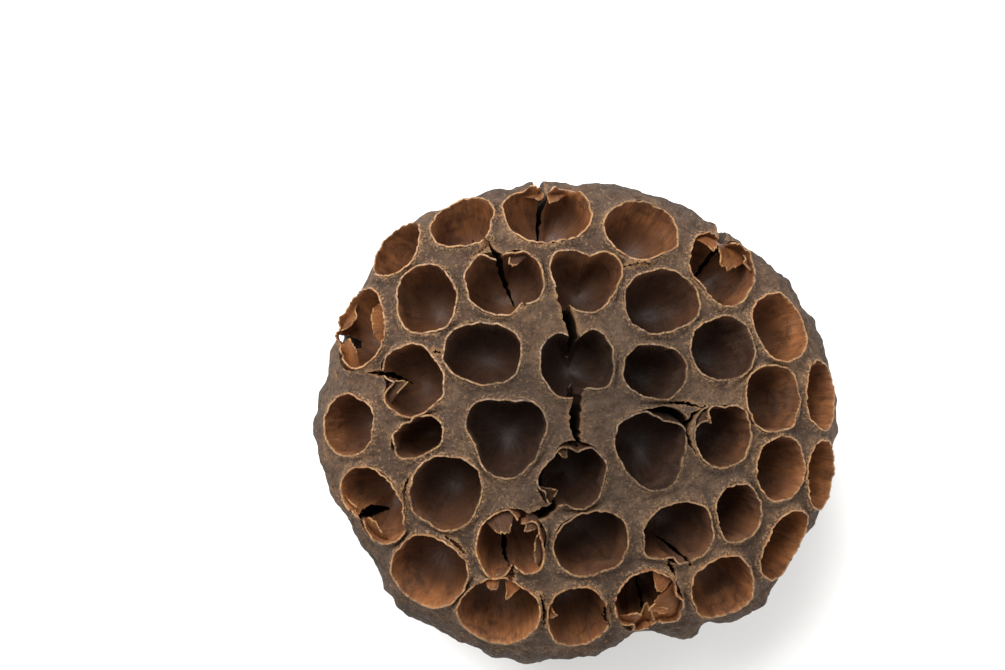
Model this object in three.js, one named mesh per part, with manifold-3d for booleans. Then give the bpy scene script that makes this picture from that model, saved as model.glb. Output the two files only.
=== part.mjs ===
// A dried lotus pod: the domed seed head of a lotus, open where its seeds have dropped out.
// Millimetres, +Z up. The pod stands on the cut end of its stalk, whose centre is the origin,
// and +Z is the pod's own axis, out through the middle of the domed face.
// It grew in one piece, so it is one mesh: the head, with every seed cell and crack cut out of it.
import * as THREE from "three";
import { mergeVertices } from "three/addons/utils/BufferGeometryUtils.js";
import Module from "manifold-3d";

const wasm = await Module();
wasm.setup();

// ---- Driving dimensions ----

const SHOULDER_HEIGHT = 33; // the pod's widest line, above the cut stalk
const DOME_HEIGHT = 25; // from the widest line to the top of the dome
const DOME_FULLNESS = 2.2; // 2 is an ellipse; more is flatter on top and rounder at the shoulder
const MEAN_RADIUS = 47; // the radius that the head's profile is drawn with
const STALK_RADIUS = 8.5;

// The widest line as seen from above: its radius every 15 degrees, anticlockwise from +X.
const OUTLINE_RADII = [
  49, 48.8, 48.2, 46.6, 44.8, 45.6, 44.6, 45.6, 47.4, 49.4, 48, 48.2,
  49.3, 48.4, 46.2, 47.3, 46, 45.8, 43.4, 41.4, 45, 48.6, 48.2, 49.3,
];

const HEAD_SEGMENTS = 60; // round the head
const DOME_STEPS = 11; // up the dome
const CELL_SEGMENTS = 14; // round one seed cell

// A seed cell is a round-bottomed cup. Down from the mouth: depth, and its share of the mouth's radius.
const CELL_MOUTH_LIFT = 6; // the cutting shape starts this far outside the head
const CELL_PROFILE = [
  [4, 0.96],
  [8.5, 0.85],
  [11.8, 0.58],
  [13.2, 0.24],
];
const CELL_SQUARENESS = 2.3; // 2 is an ellipse; more has squarer corners
const CELL_LEAN = 0.68; // 0 is upright; 1 leans as far as the dome and the line from the stalk do

// ---- The seed cells ----

// x and y are the middle of the mouth seen from above. long and short are the mouth's widths on the
// dome's surface, and turn is the way its long side points, in degrees anticlockwise from +X.
// point: [direction, amount] draws the mouth out into a rounded triangle's corner.
// folds: [direction, share of the radius] presses the wall in, where the dry lining has creased.
function cell(x, y, long, short, turn, { point, folds = [] } = {}) {
  return { x, y, long, short, turn, point, folds };
}

const MIDDLE_CELLS = [
  cell(-4, 11.4, 13.4, 13.2, 0, { folds: [[95, 0.3], [-70, 0.3]] }),
  cell(10.1, 10, 11.8, 9.6, -10),
  cell(9.6, -3.4, 14.4, 13.4, 90, { point: [-75, 0.08] }),
  cell(-5, -8.9, 12.9, 11.8, 60, { folds: [[135, 0.15], [-100, 0.2]] }),
  cell(-16.8, -1.3, 13.8, 13.6, 0, { point: [-93, 0.12] }),
];

const INNER_RING = [
  cell(22.9, -1.6, 11.5, 11.2, 90),
  cell(23.1, 14, 13, 11.6, 15),
  cell(11.7, 22.7, 14.2, 12.2, 10),
  cell(-1.8, 26.6, 12.7, 12, 0, { point: [-90, 0.1], folds: [[85, 0.15]] }),
  cell(-16.6, 26.2, 14.2, 13.2, 0, { folds: [[95, 0.25], [-55, 0.22]] }),
  cell(-20.9, 13.4, 14.2, 11.2, -5),
  cell(-27.2, -11.8, 13.6, 13, 60),
  cell(-15.6, -21.2, 13.4, 12.6, 90, { folds: [[-80, 0.3]] }),
  cell(-1.3, -20.9, 13.6, 12, 15),
  cell(14.7, -19.5, 13.4, 11.8, 20, { folds: [[-115, 0.25]] }),
  cell(26.2, -15.8, 11.2, 9, 105),
];

const MIDDLE_RING = [
  cell(32.9, 5, 12.2, 12, 90),
  cell(34.6, -7.8, 12, 11, 110),
  cell(-33.3, 8.5, 12.8, 11.8, 115, { folds: [[185, 0.2]] }),
  cell(-32.2, -1.8, 10.2, 6.8, 25),
  cell(-30.4, 23, 13, 11.4, 105),
];

const OUTER_RING = [
  cell(43.9, 5.3, 13, 10.2, 80),
  cell(35.2, 18, 13, 12.6, 120),
  cell(24.6, 29.4, 17, 13.4, 65, { folds: [[75, 0.3], [-140, 0.12]] }),
  cell(9.2, 35.9, 14.2, 12.8, 30),
  cell(-7.8, 39, 16.6, 14.4, 5, { folds: [[92, 0.35]] }),
  cell(-23.2, 37.2, 13.4, 11.8, 75),
  cell(-35, 32.4, 12.2, 10.6, 90),
  cell(-42, 17.9, 16, 12.4, 103, { folds: [[215, 0.25]] }),
  cell(-44.3, 0.2, 11.6, 11, 0),
  cell(-39.8, -14.4, 15.4, 12.4, 110, { folds: [[225, 0.3]] }),
  cell(-29.8, -26.4, 15, 13.8, 55),
  cell(-17, -33.9, 15.2, 14.2, 50),
  cell(-2.7, -34.8, 14.4, 11.2, 105),
  cell(10.7, -32.4, 15.4, 12.6, 110, { folds: [[-70, 0.3]] }),
  cell(24.5, -30.2, 15, 12.4, 115),
  cell(36.5, -22.2, 14, 11, 70),
  cell(44.3, -9.6, 13.6, 10.2, 105),
];

const CELLS = [...MIDDLE_CELLS, ...INNER_RING, ...MIDDLE_RING, ...OUTER_RING];

// ---- The cracks ----

// Where the head has split in drying: a slit from one point to another, seen from above, open to
// width at its middle, and cut depth below the dome there. The last four break the rim.
const CRACKS = [
  { from: [-8.2, 24], to: [-5, 15], width: 1.6, depth: 9 },
  { from: [-2.4, 6.5], to: [-2.8, -5], width: 2.4, depth: 10 },
  { from: [-6, -13.5], to: [-13, -17.5], width: 2, depth: 9 },
  { from: [-14, -25.2], to: [-15.5, -31], width: 1.6, depth: 8 },
  { from: [-7.6, 40], to: [-8, 51], width: 3.6, depth: 4 },
  { from: [27.5, 33], to: [32, 43], width: 3, depth: 4 },
  { from: [-45, 16], to: [-55, 13], width: 2.6, depth: 4 },
  { from: [12.5, -36], to: [13.5, -50], width: 4, depth: 4 },
];

// ---- The head's surface ----

const degrees = THREE.MathUtils.degToRad;

// The widest line's radius at an angle in radians, eased smoothly between the radii in the list.
function outlineRadius(angle) {
  const count = OUTLINE_RADII.length;
  const place = THREE.MathUtils.euclideanModulo((angle / (2 * Math.PI)) * count, count);
  const before = Math.floor(place);
  const ease = THREE.MathUtils.smoothstep(place - before, 0, 1);
  return THREE.MathUtils.lerp(OUTLINE_RADII[before], OUTLINE_RADII[(before + 1) % count], ease);
}

// The dome's height over the cut stalk, above a point seen from above.
function domeHeight(x, y) {
  const share = Math.min(1, Math.hypot(x, y) / outlineRadius(Math.atan2(y, x)));
  return SHOULDER_HEIGHT + DOME_HEIGHT * (1 - share ** DOME_FULLNESS) ** (1 / DOME_FULLNESS);
}

// The dome's outward direction above a point seen from above.
function domeNormal(x, y) {
  const step = 0.5;
  const slopeX = (domeHeight(x + step, y) - domeHeight(x - step, y)) / (2 * step);
  const slopeY = (domeHeight(x, y + step) - domeHeight(x, y - step)) / (2 * step);
  return new THREE.Vector3(-slopeX, -slopeY, 1).normalize();
}

// ---- Solids ----

// A closed geometry as a manifold-3d solid.
function solid(geometry) {
  const bare = geometry.clone();
  bare.deleteAttribute("normal");
  bare.deleteAttribute("uv");
  const merged = mergeVertices(bare, 1e-4);
  const mesh = new wasm.Mesh({
    numProp: 3,
    vertProperties: new Float32Array(merged.attributes.position.array),
    triVerts: new Uint32Array(merged.index.array),
  });
  return new wasm.Manifold(mesh);
}

// Moves each vertex of a geometry to where place(vertex) puts it.
function warp(geometry, place) {
  const position = geometry.attributes.position;
  const vertex = new THREE.Vector3();
  for (let i = 0; i < position.count; i++) {
    vertex.fromBufferAttribute(position, i);
    place(vertex);
    position.setXYZ(i, vertex.x, vertex.y, vertex.z);
  }
  return geometry;
}

// The whole head before its cells are cut: a turned profile, spread out to the uneven outline.
function makeHead() {
  const underside = new THREE.SplineCurve([
    new THREE.Vector2(STALK_RADIUS, 2.5),
    new THREE.Vector2(STALK_RADIUS + 2.5, 6),
    new THREE.Vector2(20, 10.5),
    new THREE.Vector2(32, 16.5),
    new THREE.Vector2(43, 25),
    new THREE.Vector2(MEAN_RADIUS, SHOULDER_HEIGHT),
  ]);
  const profile = [new THREE.Vector2(0, 0), new THREE.Vector2(STALK_RADIUS, 0), ...underside.getPoints(9)];
  for (let i = 1; i <= DOME_STEPS; i++) {
    const angle = (i / DOME_STEPS) * (Math.PI / 2);
    const radius = MEAN_RADIUS * Math.cos(angle) ** (2 / DOME_FULLNESS);
    const height = SHOULDER_HEIGHT + DOME_HEIGHT * Math.sin(angle) ** (2 / DOME_FULLNESS);
    profile.push(new THREE.Vector2(i === DOME_STEPS ? 0 : radius, height));
  }
  const turned = new THREE.LatheGeometry(profile, HEAD_SEGMENTS).rotateX(Math.PI / 2);
  return warp(turned, (v) => {
    const radius = Math.hypot(v.x, v.y);
    const stalk = v.z < SHOULDER_HEIGHT ? STALK_RADIUS : 0;
    if (radius <= stalk + 1e-3) return;
    const spread = (outlineRadius(Math.atan2(v.y, v.x)) - stalk) / (MEAN_RADIUS - stalk);
    const placed = stalk + (radius - stalk) * spread;
    v.x *= placed / radius;
    v.y *= placed / radius;
  });
}

// A mouth's radius in the direction angle, in radians.
function mouthRadius({ long, short, turn, point, folds }, angle) {
  const along = Math.abs(Math.cos(angle - degrees(turn))) / (long / 2);
  const across = Math.abs(Math.sin(angle - degrees(turn))) / (short / 2);
  let radius = (along ** CELL_SQUARENESS + across ** CELL_SQUARENESS) ** (-1 / CELL_SQUARENESS);
  if (point) radius *= 1 + point[1] * Math.cos(3 * (angle - degrees(point[0])));
  for (const [direction, depth] of folds) {
    const off = Math.sin((angle - degrees(direction)) / 2) * 2;
    radius *= 1 - depth * Math.exp(-((off / 0.35) ** 2));
  }
  return radius;
}

// A seed cell's cutting shape, in place. It leans outwards, towards the direction halfway between
// the dome's own and the line from the stalk, because the cells grow out from the stalk.
function makeCell(shape) {
  const profile = [
    new THREE.Vector2(0, CELL_MOUTH_LIFT),
    new THREE.Vector2(1, CELL_MOUTH_LIFT),
    ...CELL_PROFILE.map(([depth, share]) => new THREE.Vector2(share, -depth)),
    new THREE.Vector2(0, -CELL_PROFILE.at(-1)[0] - 0.3),
  ].reverse();
  const cup = new THREE.LatheGeometry(profile, CELL_SEGMENTS).rotateX(Math.PI / 2);
  warp(cup, (v) => {
    const share = Math.hypot(v.x, v.y);
    if (share < 1e-6) return;
    const angle = Math.atan2(v.y, v.x);
    const radius = share * mouthRadius(shape, angle);
    v.x = radius * Math.cos(angle);
    v.y = radius * Math.sin(angle);
  });
  const mouth = new THREE.Vector3(shape.x, shape.y, domeHeight(shape.x, shape.y));
  const axis = mouth.clone().normalize().add(domeNormal(shape.x, shape.y)).normalize();
  const farthest = new THREE.Quaternion().setFromUnitVectors(new THREE.Vector3(0, 0, 1), axis);
  const lean = new THREE.Quaternion().slerp(farthest, CELL_LEAN);
  return cup.applyQuaternion(lean).translate(mouth.x, mouth.y, mouth.z);
}

// A crack's cutting shape, in place: an upright blade, thickest in the middle.
function makeCrack({ from, to, width, depth }) {
  const start = new THREE.Vector2(...from);
  const run = new THREE.Vector2(...to).sub(start);
  const length = run.length();
  const blade = new THREE.Shape();
  blade.quadraticCurveTo(length / 2, width, length, 0);
  blade.quadraticCurveTo(length / 2, -width, 0, 0);
  const middle = start.clone().addScaledVector(run, 0.5);
  const bottom = domeHeight(middle.x, middle.y) - depth;
  const height = SHOULDER_HEIGHT + DOME_HEIGHT + 1 - bottom;
  return new THREE.ExtrudeGeometry(blade, { depth: height, curveSegments: 4, bevelEnabled: false })
    .rotateZ(run.angle())
    .translate(start.x, start.y, bottom);
}

// A manifold-3d solid as a mesh with flat faces.
function meshOf(name, made, material) {
  const { vertProperties, triVerts } = made.getMesh();
  const geometry = new THREE.BufferGeometry();
  geometry.setAttribute("position", new THREE.BufferAttribute(new Float32Array(vertProperties), 3));
  geometry.setIndex(new THREE.BufferAttribute(new Uint32Array(triVerts), 1));
  geometry.computeVertexNormals();
  const mesh = new THREE.Mesh(geometry, material);
  mesh.name = name;
  return mesh;
}

// ---- The pod ----

const dryHusk = new THREE.MeshStandardMaterial({ color: 0x5e4a3b, roughness: 0.85, metalness: 0 });

const cutters = [...CELLS.map(makeCell), ...CRACKS.map(makeCrack)].map(solid);
const pod = cutters.reduce((left, cutter) => left.subtract(cutter), solid(makeHead()));

const lotusPod = new THREE.Group();
lotusPod.add(meshOf("lotus_pod", pod, dryHusk));

export default lotusPod;
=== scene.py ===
# %% [markdown]
# # A dried lotus pod
# The pod is the woody seed head of a lotus, dried after its seeds have dropped out. It grew as one
# piece: a fat cone on a short stub of stalk, with a domed face full of seed cells. Each cell keeps
# its own thin lining, whose papery rim stands up round the mouth. This lesson builds the husk first,
# then the linings, then what has torn, and last the finishes and the studio.

# %% Load the frame
import math

import bmesh
import bpy
import numpy as np
from mathutils import Matrix, Quaternion, Vector, kdtree, noise


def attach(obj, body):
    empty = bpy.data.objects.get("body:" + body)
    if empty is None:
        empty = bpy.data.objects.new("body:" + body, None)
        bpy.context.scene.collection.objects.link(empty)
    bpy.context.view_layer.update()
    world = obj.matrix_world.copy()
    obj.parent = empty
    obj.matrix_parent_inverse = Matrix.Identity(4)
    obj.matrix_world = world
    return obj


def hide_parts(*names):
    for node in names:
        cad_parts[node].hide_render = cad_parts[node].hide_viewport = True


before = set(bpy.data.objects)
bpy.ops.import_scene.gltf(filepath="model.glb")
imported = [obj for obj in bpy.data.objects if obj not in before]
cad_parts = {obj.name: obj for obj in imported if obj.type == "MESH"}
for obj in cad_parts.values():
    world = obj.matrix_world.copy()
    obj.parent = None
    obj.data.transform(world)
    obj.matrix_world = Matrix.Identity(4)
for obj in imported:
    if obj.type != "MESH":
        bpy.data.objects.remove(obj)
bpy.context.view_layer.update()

# %% [markdown]
# ## The shape of the head
# Seen from above, the head isn't round: each side grew as much as it could. So its widest line is a
# list of radii, eased into each other, and everything else is drawn round and then spread to it.
# The dome over it is a superellipse, which is flatter on top and rounder at the edge than a sphere.

# %% The head's outline and its dome
MM = 0.001
SHOULDER_HEIGHT = 33 * MM
DOME_HEIGHT = 25 * MM
DOME_FULLNESS = 2.2
MEAN_RADIUS = 47 * MM
STALK_RADIUS = 8.5 * MM
OUTLINE_RADII = MM * np.array([
    49, 48.8, 48.2, 46.6, 44.8, 45.6, 44.6, 45.6, 47.4, 49.4, 48, 48.2,
    49.3, 48.4, 46.2, 47.3, 46, 45.8, 43.4, 41.4, 45, 48.6, 48.2, 49.3])


def outline_radius(angle):
    """The widest line's radius in each direction, in radians from +X."""
    place = np.mod(angle / math.tau, 1) * len(OUTLINE_RADII)
    before = np.floor(place).astype(int) % len(OUTLINE_RADII)
    ease = place - np.floor(place)
    ease = ease * ease * (3 - 2 * ease)
    return OUTLINE_RADII[before] * (1 - ease) + OUTLINE_RADII[(before + 1) % len(OUTLINE_RADII)] * ease


def dome_height(x, y):
    """The dome's height above points seen from above."""
    share = np.minimum(1, np.hypot(x, y) / outline_radius(np.arctan2(y, x)))
    return SHOULDER_HEIGHT + DOME_HEIGHT * (1 - share ** DOME_FULLNESS) ** (1 / DOME_FULLNESS)


def dome_slopes(x, y, step):
    """How steeply the dome rises to the east and to the north above points seen from above."""
    return ((dome_height(x + step, y) - dome_height(x - step, y)) / (2 * step),
            (dome_height(x, y + step) - dome_height(x, y - step)) / (2 * step))


def dome_normal(x, y):
    """The dome's outward direction above one point."""
    east, north = dome_slopes(x, y, 0.5 * MM)
    return Vector((-east, -north, 1)).normalized()


print("the dome is", round(float(dome_height(0, 0)) / MM, 1), "mm high")

# %% [markdown]
# ## The seed cells
# A cell is a round-bottomed cup that leans outwards more the nearer it is to the edge, because the
# seeds all hung from the stalk. No two mouths are alike, so the cells are a table: where the mouth
# is, how long and how wide it is and which way it turns. A point draws the mouth out to a rounded
# corner, and a fold is where the drying lining creased inwards, all the way down the wall.

# %% The table of cells
def cell(x, y, long, short, turn, point=None, folds=(), warmth=0.5, frill=1.0):
    """One seed cell. Millimetres and degrees; warmth is how light its lining is, frill how torn its rim."""
    return dict(x=x * MM, y=y * MM, long=long * MM, short=short * MM, turn=math.radians(turn),
                point=point, folds=folds, warmth=warmth, frill=frill)


MIDDLE_CELLS = [
    cell(-4, 11.4, 13.4, 13.2, 0, folds=[(95, 0.3), (-70, 0.3)], warmth=0.12),
    cell(10.1, 10, 11.8, 9.6, -10, warmth=0.12),
    cell(9.6, -3.4, 14.4, 13.4, 90, point=(-75, 0.08), warmth=0.05),
    cell(-5, -8.9, 12.9, 11.8, 60, folds=[(135, 0.15), (-100, 0.2)], warmth=0.2, frill=1.2),
    cell(-16.8, -1.3, 13.8, 13.6, 0, point=(-93, 0.12), warmth=0.1),
]
INNER_RING = [
    cell(22.9, -1.6, 11.5, 11.2, 90, warmth=0.3),
    cell(23.1, 14, 13, 11.6, 15, warmth=0.12),
    cell(11.7, 22.7, 14.2, 12.2, 10, warmth=0.25),
    cell(-1.8, 26.6, 12.7, 12, 0, point=(-90, 0.1), folds=[(85, 0.15)], warmth=0.45),
    cell(-16.6, 26.2, 14.2, 13.2, 0, folds=[(95, 0.25), (-55, 0.22)]),
    cell(-20.9, 13.4, 14.2, 11.2, -5, warmth=0.2),
    cell(-27.2, -11.8, 13.6, 13, 60, warmth=0.3),
    cell(-15.6, -21.2, 13.4, 12.6, 90, folds=[(-80, 0.3)], warmth=0.9, frill=1.8),
    cell(-1.3, -20.9, 13.6, 12, 15, warmth=0.3),
    cell(14.7, -19.5, 13.4, 11.8, 20, folds=[(-115, 0.25)], warmth=0.3),
    cell(26.2, -15.8, 11.2, 9, 105, warmth=0.3),
]
MIDDLE_RING = [
    cell(32.9, 5, 12.2, 12, 90),
    cell(34.6, -7.8, 12, 11, 110, warmth=0.55),
    cell(-33.3, 8.5, 12.8, 11.8, 115, folds=[(185, 0.2)]),
    cell(-32.2, -1.8, 10.2, 6.8, 25, warmth=0.35),
    cell(-30.4, 23, 13, 11.4, 105),
]
OUTER_RING = [
    cell(43.9, 5.3, 13, 10.2, 80, warmth=0.75),
    cell(35.2, 18, 13, 12.6, 120, warmth=0.7),
    cell(24.6, 29.4, 17, 13.4, 65, folds=[(75, 0.3), (-140, 0.12)], warmth=0.6, frill=1.6),
    cell(9.2, 35.9, 14.2, 12.8, 30, warmth=0.6),
    cell(-7.8, 39, 16.6, 14.4, 5, folds=[(92, 0.35)], warmth=0.75, frill=1.5),
    cell(-23.2, 37.2, 13.4, 11.8, 75, warmth=0.7),
    cell(-35, 32.4, 12.2, 10.6, 90, warmth=0.65),
    cell(-42, 17.9, 16, 12.4, 103, folds=[(215, 0.25)], warmth=0.8, frill=1.8),
    cell(-44.3, 0.2, 11.6, 11, 0, warmth=0.6),
    cell(-39.8, -14.4, 15.4, 12.4, 110, folds=[(225, 0.3)], warmth=0.75, frill=1.5),
    cell(-29.8, -26.4, 15, 13.8, 55, warmth=0.65),
    cell(-17, -33.9, 15.2, 14.2, 50, warmth=0.75, frill=1.3),
    cell(-2.7, -34.8, 14.4, 11.2, 105, warmth=0.6),
    cell(10.7, -32.4, 15.4, 12.6, 110, folds=[(-70, 0.3)], warmth=0.95, frill=2),
    cell(24.5, -30.2, 15, 12.4, 115, warmth=0.75),
    cell(36.5, -22.2, 14, 11, 70, warmth=0.75),
    cell(44.3, -9.6, 13.6, 10.2, 105, warmth=0.85),
]
CELLS = MIDDLE_CELLS + INNER_RING + MIDDLE_RING + OUTER_RING
CELL_LEAN = 0.68
for number, shape in enumerate(CELLS):
    mouth = Vector((shape["x"], shape["y"], float(dome_height(shape["x"], shape["y"]))))
    farthest = (mouth.normalized() + dome_normal(shape["x"], shape["y"])).normalized()
    lean = Quaternion().slerp(Vector((0, 0, 1)).rotation_difference(farthest), CELL_LEAN)
    shape["number"] = number
    shape["mouth"] = mouth
    shape["turned"] = np.array(lean.to_matrix())
print(len(CELLS), "seed cells")

# %% [markdown]
# ## The wall of a cell
# Every point of a wall is told by its direction round the cell and its depth below the mouth. The
# mouth is a superellipse with its folds pressed in, and the wall draws in to nothing at the bottom.
# The rim has to lie on the dome, so its height is found for each direction by halving the gap.

# %% Uneven mouths
SIDES = np.linspace(-math.pi, math.pi, 361)
CELL_SQUARENESS = 2.3


def rough(points, size, seed=0, octaves=3):
    """Smooth noise from about -1 to 1 at each point, with bumps of about the given size."""
    shift = Vector((seed * 7.13, seed * 3.71, seed * 5.37))
    return np.array([noise.fractal(Vector(p) / size + shift, 1.0, 2.0, octaves) for p in points])


def ring_noise(shape, waves, layer=0):
    """Noise for each of SIDES that closes on itself, with about so many waves in a turn."""
    ring = np.stack([np.cos(SIDES) * waves / math.tau, np.sin(SIDES) * waves / math.tau,
                     np.full_like(SIDES, shape["number"] * 2.7 + layer * 11.3)], -1)
    return rough(ring, 1.0, seed=layer, octaves=2)


def grown_mouth(shape):
    """The mouth's radius for each of SIDES: an ellipse with its corner, its folds and small bends."""
    along = np.abs(np.cos(SIDES - shape["turn"])) / (shape["long"] / 2)
    across = np.abs(np.sin(SIDES - shape["turn"])) / (shape["short"] / 2)
    radius = (along ** CELL_SQUARENESS + across ** CELL_SQUARENESS) ** (-1 / CELL_SQUARENESS)
    if shape["point"]:
        radius = radius * (1 + shape["point"][1] * np.cos(3 * (SIDES - math.radians(shape["point"][0]))))
    for direction, depth in shape["folds"]:
        off = 2 * np.sin((SIDES - math.radians(direction)) / 2)
        radius = radius * (1 - depth * np.exp(-((off / 0.35) ** 2)))
    bends = 0.4 * ring_noise(shape, 8, 4) + 0.12 * ring_noise(shape, 26, 5) - 0.12
    return radius + bends * MM


def mouth_radius(shape, angle):
    """The mouth's radius in any direction."""
    return np.interp(np.mod(angle + math.pi, math.tau) - math.pi, SIDES, shape["radii"])


for shape in CELLS:
    shape["radii"] = grown_mouth(shape)
print("the first mouth is", round((CELLS[0]["radii"][0] + CELLS[0]["radii"][180]) / MM, 1), "mm wide")

# %% Points on a cell's wall
CELL_DEPTH = 13.5 * MM


def wall_share(depth):
    """How much of the mouth's radius the cell still has at a depth."""
    down = np.clip(depth / CELL_DEPTH, 0, 1)
    return (1 - down ** 3.4) ** 0.588


def wall_point(shape, angle, depth, grow=0.0):
    """Where the wall is, in the head's own directions, as an array of points."""
    radius = (mouth_radius(shape, angle) + grow) * wall_share(depth)
    deeper = depth + grow * (depth > 0) * (depth / CELL_DEPTH)
    local = np.stack([radius * np.cos(angle), radius * np.sin(angle), -deeper], -1)
    return local @ shape["turned"].T + np.array(shape["mouth"])


def rim_height(shape, angle):
    """How far above the middle of the mouth the wall meets the dome, in each direction."""
    low, high = np.full_like(angle, -9 * MM), np.full_like(angle, 9 * MM)
    for _ in range(24):
        middle = (low + high) / 2
        point = wall_point(shape, angle, -middle)
        outside = point[:, 2] > dome_height(point[:, 0], point[:, 1])
        high, low = np.where(outside, middle, high), np.where(outside, low, middle)
    return (low + high) / 2


angles = np.linspace(0, math.tau, 8, endpoint=False)
print("the first rim's heights:", np.round(rim_height(CELLS[0], angles) / MM, 1), "mm")

# %% [markdown]
# ## Helpers for meshes
# Blender's operators make the faces, and numpy moves the vertices, thousands at once. A noise field
# from mathutils gives every bump and tear, and it is the same each time the script is run.

# %% Move, measure and finish meshes
def points_of(mesh):
    """A mesh's vertices as an array, one row each."""
    flat = np.empty(len(mesh.vertices) * 3, np.float32)
    mesh.vertices.foreach_get("co", flat)
    return flat.reshape(-1, 3).astype(float)


def place_points(mesh, points):
    """Puts a mesh's vertices where the rows of an array say."""
    mesh.vertices.foreach_set("co", np.asarray(points, np.float32).ravel())
    mesh.update()


def new_object(name, made):
    """A bmesh as an object in the scene."""
    mesh = bpy.data.meshes.new(name)
    made.to_mesh(mesh)
    made.free()
    piece = bpy.data.objects.new(name, mesh)
    bpy.context.scene.collection.objects.link(piece)
    return piece


def apply_modifiers(piece):
    """Leaves the piece with the mesh that its modifiers make."""
    bpy.context.view_layer.update()
    seen = piece.evaluated_get(bpy.context.evaluated_depsgraph_get())
    finished = bpy.data.meshes.new_from_object(seen)
    piece.modifiers.clear()
    old, piece.data = piece.data, finished
    finished.name = piece.name
    bpy.data.meshes.remove(old)


def cut_away(piece, cutter, operation="DIFFERENCE"):
    """Takes the cutter's shape out of a piece, as a knife or a drill would, or adds it to the piece."""
    cut = piece.modifiers.new("cut", "BOOLEAN")
    cut.object, cut.operation, cut.solver = cutter, operation, "MANIFOLD"
    apply_modifiers(piece)


def add_bent(whole, plain, bend):
    """Adds a plain bmesh to a larger one, with its points moved by a function, and frees it."""
    mesh = bpy.data.meshes.new("copy")
    plain.to_mesh(mesh)
    plain.free()
    place_points(mesh, bend(points_of(mesh)))
    whole.from_mesh(mesh)
    bpy.data.meshes.remove(mesh)


# %% [markdown]
# ## Cups to cut with and to line with
# One plain cup, spun from an open line, serves all the cells: each copy is bent to its cell's wall.
# The same cup with a lid, a little larger, is what cuts the cell out of the husk.

# %% A plain cup
CELL_SIDES = 120
CELL_ROWS = 21


def plain_cup(lid):
    """A cup round Z with radius 1: its height is the row, 0 at the rim and falling to the bottom."""
    made = bmesh.new()
    rows = [(1, 0, -row) for row in range(CELL_ROWS)] + [(0, 0, -CELL_ROWS)]
    if lid:
        rows = [(0, 0, 1), (1, 0, 1)] + rows
    line = [made.verts.new(place) for place in rows]
    edges = [made.edges.new(pair) for pair in zip(line, line[1:])]
    bmesh.ops.spin(made, geom=line + edges, cent=(0, 0, 0), axis=(0, 0, 1), angle=math.tau,
                   steps=CELL_SIDES, use_merge=True)
    bmesh.ops.remove_doubles(made, verts=made.verts, dist=1e-4)
    bmesh.ops.recalc_face_normals(made, faces=made.faces)
    return made


wall_depths = np.linspace(-10 * MM, CELL_DEPTH, 400)
wall_steps = np.hypot(np.diff(wall_depths), np.diff(wall_share(wall_depths)) * 6 * MM)
wall_lengths = np.concatenate([[0], np.cumsum(wall_steps)])


def depth_along(start, share):
    """The depth at a share of the way down the wall, from the start depth to the bottom."""
    begin = np.interp(start, wall_depths, wall_lengths)
    return np.interp(begin + share * (wall_lengths[-1] - begin), wall_lengths, wall_depths)


cup = plain_cup(lid=False)
print("one lining has", len(cup.faces), "faces")
cup.free()

# %% [markdown]
# ## Linings
# A lining is a shell about a third of a millimetre thick. Its rim stands a little proud of the husk,
# with small tears and waves, and its wall is creased and dented. Where a cell burst open, its lining
# stands up in petals that lean over the mouth, so a petal is a direction, how wide it is, how much it
# rises and how far it leans. Where two cells come too near each other, both walls give way by half.
# Thickness grows outwards, so it is buried in the husk and shows at the rim.

# %% Bend the cups to their cells
LINING_THICKNESS = 0.3 * MM
RIM_PROUD = 0.42 * MM
PETAL_REACH = 0.55
PETALS = {
    # cell: direction and half width in degrees, rise and lean in millimetres
    2: [(58, 34, -0.3, 2.6)],
    3: [(85, 20, 0.6, 1.6), (-150, 14, 0.5, 1.0)],
    5: [(140, 14, 1.2, 1.4)],
    9: [(112, 13, 0.4, 1.6), (70, 10, 0.5, 0.8)],
    12: [(70, 16, 0.8, 2.2), (20, 24, 0.5, 1.0), (-85, 16, 0.6, 1.4)],
    14: [(-100, 12, 0.5, 1.2)],
    18: [(190, 14, 1.0, 1.8), (150, 10, 0.6, 0.8)],
    19: [(200, 12, 1.0, 0.8)],
    23: [(100, 9, 2.2, 0.8), (48, 17, 2.6, 2.8), (5, 16, 0.6, 0.6)],
    25: [(108, 10, 3.0, 0.9), (76, 11, 3.4, 1.6), (40, 16, 0.8, 0.2)],
    28: [(160, 28, 1.2, 0.6), (200, 10, 2.0, 1.0), (245, 20, 1.2, 1.8)],
    30: [(200, 12, 1.0, 0.8), (245, 20, 1.2, 1.6)],
    34: [(-55, 10, 1.6, 2.0), (-85, 9, 1.8, 1.2), (-118, 10, 1.4, 2.2), (30, 16, 0.6, 0.8)],
}


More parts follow.
